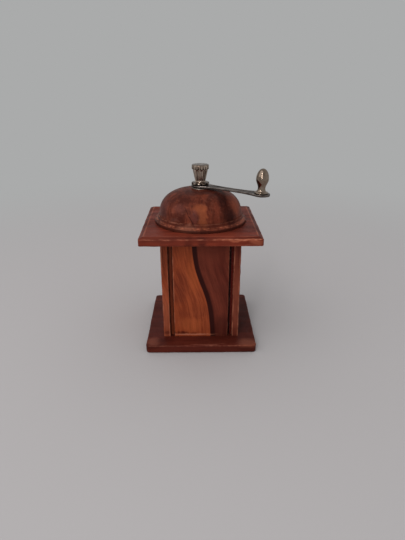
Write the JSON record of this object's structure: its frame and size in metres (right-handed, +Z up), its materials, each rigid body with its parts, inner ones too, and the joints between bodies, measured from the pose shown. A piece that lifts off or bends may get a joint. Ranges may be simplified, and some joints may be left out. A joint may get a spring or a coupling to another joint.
{
  "type": "spice mill",
  "caption": "Hand cranked spice mill: grooved square wooden column between two boards, turned domed lid, nickelled crank and nut, steel grinder inside, open outlet in the base.",
  "frame": {"origin": "centre of the whole object's box at the base board's underside; the mill's own axis stands 3.0 mm from it towards -X, because the crank reaches past the boards on the +X side", "axes": "+Z up along the shaft; -Y is the face that the picture shows; +X towards the crank's knob side"},
  "size_m": [0.1004, 0.0944, 0.1496],
  "materials": {
    "column_wood": "oiled and waxed, sapwood and dark heartwood in one block",
    "board_wood": "oiled and waxed, worn along the edges",
    "lid_wood": "turned and polished",
    "dowel_wood": "plain beech",
    "nickel": "aged nickel plate",
    "arm_steel": "worn dark steel",
    "fitting_steel": "plain zinc-plated steel",
    "burr_steel": "hardened, left as ground"
  },
  "bodies": {
    "mill_body": {"base_board": "board_wood", "column": "column_wood", "top_board": "board_wood", "burr_ring": "burr_steel", "bridge": "fitting_steel", "burr_spring": "fitting_steel", "bridge_screw_1": "fitting_steel", "bridge_screw_2": "fitting_steel", "base_screw_1": "fitting_steel", "base_screw_2": "fitting_steel", "base_screw_3": "fitting_steel", "base_screw_4": "fitting_steel", "board_dowel_1": "dowel_wood", "board_dowel_2": "dowel_wood", "board_dowel_3": "dowel_wood", "board_dowel_4": "dowel_wood"},
    "lid": {"lid": "lid_wood", "bearing_plate": "nickel", "bearing_nail_1": "nickel", "bearing_nail_2": "nickel"},
    "crank": {"crank_arm": "arm_steel", "knob_rivet": "fitting_steel"},
    "nut": {"adjusting_nut": "nickel"},
    "knob": {"crank_knob": "nickel"},
    "thrust_seat": {"thrust_washer": "fitting_steel"},
    "grinder_shaft": {"drive_shaft": "fitting_steel", "burr_cone": "burr_steel", "burr_collar": "fitting_steel"}
  },
  "joints": [
    {"name": "lid_lift", "type": "slide", "parent": "mill_body", "child": "lid", "axis": [0, 0, 1], "range_m": [0, 0.055]},
    {"name": "crank_turn", "type": "hinge", "parent": "lid", "child": "crank", "pos_m": [-0.00303, 0, 0.1315], "axis": [0, 0, 1], "continuous": true},
    {"name": "nut_turn", "type": "hinge", "parent": "crank", "child": "nut", "pos_m": [-0.00303, 0, 0.14], "axis": [0, 0, 1], "range_deg": [-540, 0]},
    {"name": "knob_turn", "type": "hinge", "parent": "crank", "child": "knob", "pos_m": [0.04333, -0.02413, 0.13078], "axis": [0.0371, -0.0193, 0.9991], "continuous": true},
    {"name": "grind_lift", "type": "slide", "parent": "mill_body", "child": "thrust_seat", "axis": [0, 0, 1], "range_m": [0, 0.0012], "deforming": ["burr_spring"]},
    {"name": "shaft_turn", "type": "hinge", "parent": "thrust_seat", "child": "grinder_shaft", "pos_m": [-0.00303, 0, 0.02], "axis": [0, 0, 1], "continuous": true}
  ],
  "couplings": [
    {"joint": "nut_turn", "follows": "grind_lift", "rad_per_m": -7854},
    {"joint": "shaft_turn", "follows": "crank_turn", "ratio": 1}
  ]
}
